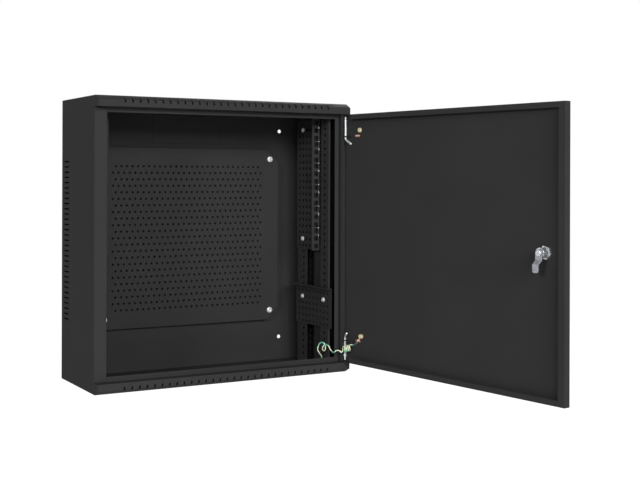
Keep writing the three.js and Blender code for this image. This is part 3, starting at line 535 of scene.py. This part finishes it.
# Pan-head screws with a cross recess, modelled once for each size and copied to each place
def screw_head(radius, height):
    start_clean()
    bpy.ops.mesh.primitive_cylinder_add(
        vertices=32, radius=radius, depth=height, location=(0, 0, height / 2))
    head = bpy.context.object
    settle(head)
    bpy.ops.object.mode_set(mode="EDIT")
    bpy.ops.mesh.select_mode(type="FACE")
    bpy.ops.mesh.select_all(action="DESELECT")
    bpy.ops.object.mode_set(mode="OBJECT")
    for face in head.data.polygons:
        face.select = face.normal.z > 0.9
    bpy.ops.object.mode_set(mode="EDIT")
    bpy.ops.mesh.bevel(offset=height * 0.62, segments=5, profile=0.6)
    bpy.ops.object.mode_set(mode="OBJECT")
    for quarter in (0, math.pi / 2):
        bpy.ops.object.select_all(action="DESELECT")
        bpy.ops.mesh.primitive_cube_add(size=1, location=(0, 0, height), rotation=(0, 0, quarter))
        blade = bpy.context.object
        blade.scale = (radius * 1.15, radius * 0.24, height * 1.1)
        settle(blade)
        cut(head, blade)
    smooth(head, 40)
    return head


def put_screw(head, name, matrix, node):
    screw = copy_of(head, name)
    screw.data.transform(matrix)
    dress(screw, name, zinc, "cabinet")
    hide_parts(node)


def fit_screws():
    plate_head = screw_head(*PLATE_SCREW_HEAD)
    facing_front = Matrix.Rotation(math.pi / 2, 4, "X")
    for word, across, up, turn in (
        ("lower_left", -1, -1, 12), ("upper_left", -1, 1, 40),
        ("lower_right", 1, -1, 65), ("upper_right", 1, 1, 28),
    ):
        place = (across * PLATE_SCREW_X, PLATE_FRONT - PLATE_HEAD_LIFT, up * PLATE_SCREW_Z)
        matrix = (Matrix.Translation(place) @ facing_front
                  @ Matrix.Rotation(math.radians(turn), 4, "Z"))
        put_screw(plate_head, f"plate_screw_{word}_head", matrix, f"plate_screw_{word}")
    web_head = screw_head(*WEB_SCREW_HEAD)
    for index, node in enumerate((
        "rail_screw_lower_left", "rail_screw_upper_left", "rail_screw_lower_right", "rail_screw_upper_right",
        "bracket_screw_front", "bracket_screw_rear",
    )):
        low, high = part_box(node)
        middle = (low + high) / 2
        side = 1 if middle.x > 0 else -1
        height = WEB_SCREW_HEAD[1]
        face = low.x + height if side > 0 else high.x - height
        matrix = (Matrix.Translation((face, middle.y, middle.z))
                  @ Matrix.Rotation(-side * math.pi / 2, 4, "Y")
                  @ Matrix.Rotation(index * 0.7, 4, "Z"))
        put_screw(web_head, node + "_head", matrix, node)
    bpy.data.objects.remove(plate_head)
    bpy.data.objects.remove(web_head)


fit_screws()


# Smooth line through points, the same centripetal curve as the solid's route
def smooth_line(points, steps):
    ends = [2 * points[0] - points[1]] + points + [2 * points[-1] - points[-2]]
    line = []
    for before, start, end, after in zip(ends, ends[1:], ends[2:], ends[3:]):
        gaps = [math.sqrt((b - a).length) for a, b in ((before, start), (start, end), (end, after))]
        lead = (start - before) / gaps[0] - (end - before) / (gaps[0] + gaps[1]) + (end - start) / gaps[1]
        trail = (end - start) / gaps[1] - (after - start) / (gaps[1] + gaps[2]) + (after - end) / gaps[2]
        lead *= gaps[1]
        trail *= gaps[1]
        for step in range(steps):
            t = step / steps
            line.append(start * (2 * t ** 3 - 3 * t ** 2 + 1) + end * (3 * t ** 2 - 2 * t ** 3)
                        + lead * (t ** 3 - 2 * t ** 2 + t) + trail * (t ** 3 - t ** 2))
    line.append(points[-1])
    return line


# Round tube along a line, with a map of how far round and along each point lies
def tube(name, line, radii, sides, twist=0.0):
    vertices, faces, around = [], [], []
    forward = (line[1] - line[0]).normalized()
    across = forward.orthogonal().normalized()
    travelled = 0.0
    for index, point in enumerate(line):
        ahead = line[min(index + 1, len(line) - 1)] - line[max(index - 1, 0)]
        turn = forward.rotation_difference(ahead.normalized())
        forward = ahead.normalized()
        across = (turn @ across).normalized()
        if index:
            travelled += (point - line[index - 1]).length
        for side in range(sides):
            angle = 2 * math.pi * side / sides
            spoke = across * math.cos(angle) + forward.cross(across) * math.sin(angle)
            vertices.append(point + spoke * radii[index])
        around.append(travelled)
    for ring in range(len(line) - 1):
        for side in range(sides):
            first = ring * sides + side
            second = ring * sides + (side + 1) % sides
            faces.append((first, second, second + sides, first + sides))
    faces.append(tuple(reversed(range(sides))))
    faces.append(tuple(range((len(line) - 1) * sides, len(line) * sides)))
    mesh = bpy.data.meshes.new(name)
    mesh.from_pydata(vertices, [], faces)
    chart = mesh.uv_layers.new(name="around")
    for face in mesh.polygons[:-2]:
        side = face.index % sides
        ring = face.index // sides
        corners = ((side, ring), (side + 1, ring), (side + 1, ring + 1), (side, ring + 1))
        for loop, (step, row) in zip(face.loop_indices, corners):
            chart.data[loop].uv = (step / sides + around[row] * twist, around[row] * 10)
    piece = bpy.data.objects.new(name, mesh)
    bpy.context.scene.collection.objects.link(piece)
    smooth(piece, 50)
    return piece


# Route of the earth wire, counted inwards and back from the hinge axis and up from the floor
def near_hinge(inward, back, up):
    return Vector((HINGE.x - inward, HINGE.y + back, FLOOR_INSIDE + up))


def on_door(from_hinge, inward, z):
    point = Matrix.Rotation(DOOR_ANGLE, 3, "Z") @ Vector((-from_hinge, inward, z))
    return HINGE + point


# Points of a coil between two places, twelve to a turn
def coil(start, end, radius, first, turns, rise):
    axis = end - start
    across = Vector((axis.y, -axis.x, 0)).normalized()
    count = round(turns * 12)
    points = []
    for step in range(count + 1):
        angle = (first + step / 12) * 2 * math.pi
        point = start + axis * (step / count) + across * (radius * math.cos(angle))
        point.z += rise * radius * math.sin(angle)
        points.append(point)
    return points


# A place down the door terminal's line, counted from the middle of its ring
def below_stud(length):
    from_hinge, z = LOWER_STUD
    return on_door(from_hinge - length * math.sin(TERMINAL_LEAN), BARREL_DEPTH,
                   z - length * math.cos(TERMINAL_LEAN))


WIRE_FROM_DOOR = near_hinge(-0.0029, -0.0269, 0.0568)
CURL = {
    "start": near_hinge(0.0005, -0.0201, 0.0506), "end": near_hinge(0.0138, -0.0149, 0.0474),
    "radius": 0.0058, "first": -0.25, "turns": 4.25, "rise": -1,
}
WIRE_INTO_CABINET = [near_hinge(*place) for place in (
    (0.0124, -0.0100, 0.0430), (0.0142, -0.0085, 0.0409), (0.0169, -0.0054, 0.0436),
    (0.0205, 0.0004, 0.0436), (0.0228, 0.0074, 0.0385),
)]
LOOPS = {
    "start": near_hinge(0.0290, 0.0209, 0.0449), "end": near_hinge(0.0332, 0.0379, 0.0493),
    "radius": 0.0072, "first": 0, "turns": 1.5, "rise": 1,
}
WIRE_TO_FLOOR = [near_hinge(*place) for place in (
    (0.0409, 0.0379, 0.0412), (0.0361, 0.0394, 0.0341), (0.0305, 0.0409, 0.0274),
    (0.0286, 0.0424, 0.0213), (0.0283, 0.0433, 0.0132), (0.0295, 0.0479, 0.0056),
    (0.0305, 0.0546, 0.0028), (0.0305, 0.0616, 0.0028), (0.0305, 0.0636, 0.0028),
)]


def earth_wire():
    route = [*(below_stud(length) for length in WIRE_START), WIRE_FROM_DOOR,
             *coil(**CURL), *WIRE_INTO_CABINET, *coil(**LOOPS), *WIRE_TO_FLOOR]
    line = smooth_line(route, 5)
    wire = tube("earth_wire_sleeved", line, [WIRE_RADIUS] * len(line), WIRE_SIDES, STRIPE_TWIST)
    wire.data.materials.append(wire_sleeve)
    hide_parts("earth_wire")
    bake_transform(wire)


earth_wire()


# Hinge pins: rod with a rounded bend and a collar near the bar
def pin_line(up, handle_turn):
    straight = [Vector((0, 0, height)) for height in (PIN_TOP, COLLAR_TOP, PIN_BEND + PIN_ARC)]
    tip = Vector((-HANDLE_REACH, 0, PIN_BEND - HANDLE_DROP))
    corner = Vector((0, 0, PIN_BEND))
    away = (tip - corner).normalized()
    arc = []
    for step in range(1, 8):
        t = step / 8
        near = corner + Vector((0, 0, PIN_ARC)) * (1 - t)
        far = corner + away * PIN_ARC * t
        arc.append(near * (1 - t) + far * t)
    line = [*straight, *arc, corner + away * PIN_ARC, tip]
    turned = Matrix.Rotation(handle_turn, 3, "Z")
    flip = Matrix.Diagonal((1, 1, up))
    swing = Matrix.Rotation(DOOR_ANGLE, 3, "Z")
    return [HINGE + swing @ (turned @ (flip @ point)) for point in line]


def fill_line(line, spacing):
    filled = []
    for start, end in zip(line, line[1:]):
        count = max(1, round((end - start).length / spacing))
        filled += [start.lerp(end, step / count) for step in range(count)]
    return filled + [line[-1]]


def hinge_pin(word, up, handle_turn):
    line = fill_line(pin_line(up, handle_turn), PIN_STEP)
    radii = []
    for index, point in enumerate(line):
        height = abs(point.z)
        from_end = min(index, len(line) - 1 - index) * PIN_STEP
        radius = PIN_RADIUS
        if height > COLLAR_TOP:
            radius = PIN_TOP_RADIUS
        elif height > COLLAR_BOTTOM:
            radius = COLLAR_RADIUS
        radii.append(min(radius, PIN_TIP_RADIUS + 1.1 * from_end))
    pin = tube(f"hinge_pin_{word}_bent", line, radii, 20)
    dress(pin, f"hinge_pin_{word}_bent", pin_zinc, f"{word}_pin")
    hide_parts(f"hinge_pin_{word}")


hinge_pin("upper", 1, 0)
hinge_pin("lower", -1, LOWER_HANDLE_TURN)

# Lock, earth studs, nuts, terminals and spacers. Each row has the nodes, the width of their eased edges
# and its steps, then metal, slot and body.
for metal_nodes, metal_edge, edge_steps, metal, metal_slot, metal_body in (
    (["lock_body"], 0.0004, 3, chrome, "chrome", "door"),
    (["lock_nut"], 0.0006, 3, chrome, "chrome", "door"),
    (["lock_plug"], 0.0002, 3, chrome, "chrome", "lock_cam_set"),
    (["cam_nut"], 0.0003, 3, chrome, "chrome", "lock_cam_set"),
    (["lock_cam"], 0.0005, 3, cam_plate, "chrome", "lock_cam_set"),
    (["door_earth_stud_upper", "door_earth_stud_lower", "door_earth_nut_upper", "door_earth_nut_lower"],
     0.0003, 2, brass, "brass", "door"),
    (["floor_earth_stud", "floor_earth_nut"], 0.0003, 2, brass, "brass", "cabinet"),
    (["door_earth_terminal"], 0.0002, 2, copper, "zinc", "door"),
    (["floor_earth_terminal"], 0.0002, 2, copper, "zinc", "cabinet"),
    (["plate_spacer_lower_left", "plate_spacer_upper_left", "plate_spacer_lower_right",
      "plate_spacer_upper_right"], 0.0003, 2, zinc, "zinc", "cabinet"),
):
    for metal_node in metal_nodes:
        eased(metal_node, metal_edge, metal, metal_body, edge_steps)


# Shrink sleeve over the door terminal's barrel and the first of the wire, drawn in where it ends
def shrink_sleeve():
    places = [below_stud(length) for length in (*SLEEVE_START, *WIRE_START)]
    grip = smooth_line(places + [WIRE_FROM_DOOR], 8)
    radii = []
    for index in range(len(grip)):
        t = index / (len(grip) - 1)
        drawn_in = SLEEVE_TAPER * max(0.0, t - 0.55) / 0.45
        radii.append(SLEEVE_RADIUS + SLEEVE_RIPPLE * math.sin(t * 21) - drawn_in)
    radii[0] -= 0.0003
    radii[-1] -= 0.0002
    sleeve = tube("terminal_sleeve", grip, radii, 20)
    dress(sleeve, "terminal_sleeve", grey_sleeve, "door")


shrink_sleeve()


# Bare labels under the earth studs, pale above and rust below
def label(name, from_hinge, z):
    for word, offset, height, colour in (
        ("pale", 0.0011, 0.0026, label_pale), ("rust", -0.0011, 0.0018, label_rust),
    ):
        start_clean()
        bpy.ops.mesh.primitive_cube_add(size=1, location=(0, 0, 0))
        patch = bpy.context.object
        patch.scale = (LABEL_LENGTH, LABEL_THICKNESS, height)
        settle(patch)
        bevel(patch, 0.00012)
        place = on_door(from_hinge, SKIN_INSIDE + LABEL_THICKNESS / 2, z + offset)
        patch.data.transform(Matrix.Translation(place) @ Matrix.Rotation(DOOR_ANGLE, 4, "Z"))
        dress(patch, f"{name}_{word}", colour, "door")


for label_name, label_place in LABELS.items():
    label(label_name, *label_place)


# White unit numbers and the ticks between them, printed on the flanges of both rails
def printed(name, piece):
    settle(piece)
    dress(piece, name, white_ink, "cabinet")


def rail_marks(word, x):
    for number in range(1, RAIL_UNITS + 1):
        start_clean()
        height = LOWEST_UNIT + (number - 0.5) * RACK_UNIT + 0.006
        bpy.ops.object.text_add(location=(x, RAIL_FACE - 0.0001, height), rotation=(math.pi / 2, 0, 0))
        digit = bpy.context.object
        digit.data.body = str(number)
        digit.data.size = DIGIT_SIZE
        digit.data.align_x = "CENTER"
        digit.data.align_y = "CENTER"
        digit.data.extrude = 0.00006
        bpy.ops.object.convert(target="MESH")
        printed(f"unit_number_{number}_{word}", bpy.context.object)
    for number in range(1, RAIL_UNITS):
        start_clean()
        bpy.ops.mesh.primitive_cylinder_add(
            vertices=16, radius=1, depth=1, rotation=(math.pi / 2, 0, 0),
            location=(x, RAIL_FACE - 0.00006, LOWEST_UNIT + number * RACK_UNIT))
        tick = bpy.context.object
        tick.scale = (0.0021, 0.0004, 0.00012)
        printed(f"unit_tick_{number}_{word}", tick)


rail_marks("left", -MARKS_X)
rail_marks("right", MARKS_X)


# Floor well below the hung cabinet and a plain surround, both pale
def pale_surround():
    start_clean()
    bpy.ops.mesh.primitive_plane_add(size=14, location=(0, 0, FLOOR_HEIGHT))
    floor = bpy.context.object
    floor.name = "floor"
    graph = Graph(bpy.data.materials.new("pale_floor"))
    matt = graph.node("ShaderNodeBsdfDiffuse", {}, {"Color": (0.82, 0.82, 0.82, 1)})
    white = graph.node("ShaderNodeEmission", {}, {"Color": (1, 1, 1, 1), "Strength": FLOOR_GLOW})
    mixed = graph.node("ShaderNodeMixShader", {}, {0: graph.seen() * FLOOR_GLOW_SHARE, 1: matt, 2: white})
    floor.data.materials.append(graph.to_surface(mixed))
    graph = Graph(bpy.data.worlds.new("surround"), "ShaderNodeOutputWorld")
    soft = graph.node("ShaderNodeBackground", {}, {"Color": (0.95, 0.97, 1, 1), "Strength": SOFT_LIGHT})
    bright = graph.node("ShaderNodeBackground", {}, {"Color": (1, 1, 1, 1)})
    mixed = graph.node("ShaderNodeMixShader", {}, {0: graph.seen(), 1: soft, 2: bright})
    bpy.context.scene.world = graph.to_surface(mixed)


def lamp(name, place, size, power):
    data = bpy.data.lights.new(name, "AREA")
    data.size = size
    data.energy = power
    light = bpy.data.objects.new(name, data)
    bpy.context.scene.collection.objects.link(light)
    light.location = place
    light.rotation_euler = (Vector(LAMP_AIM) - Vector(place)).to_track_quat("-Z", "Y").to_euler()


pale_surround()
for lamp_name, lamp_values in LAMPS.items():
    lamp(lamp_name, *lamp_values)

scene = bpy.context.scene
scene.view_settings.view_transform = "Standard"

bpy.context.view_layer.update()
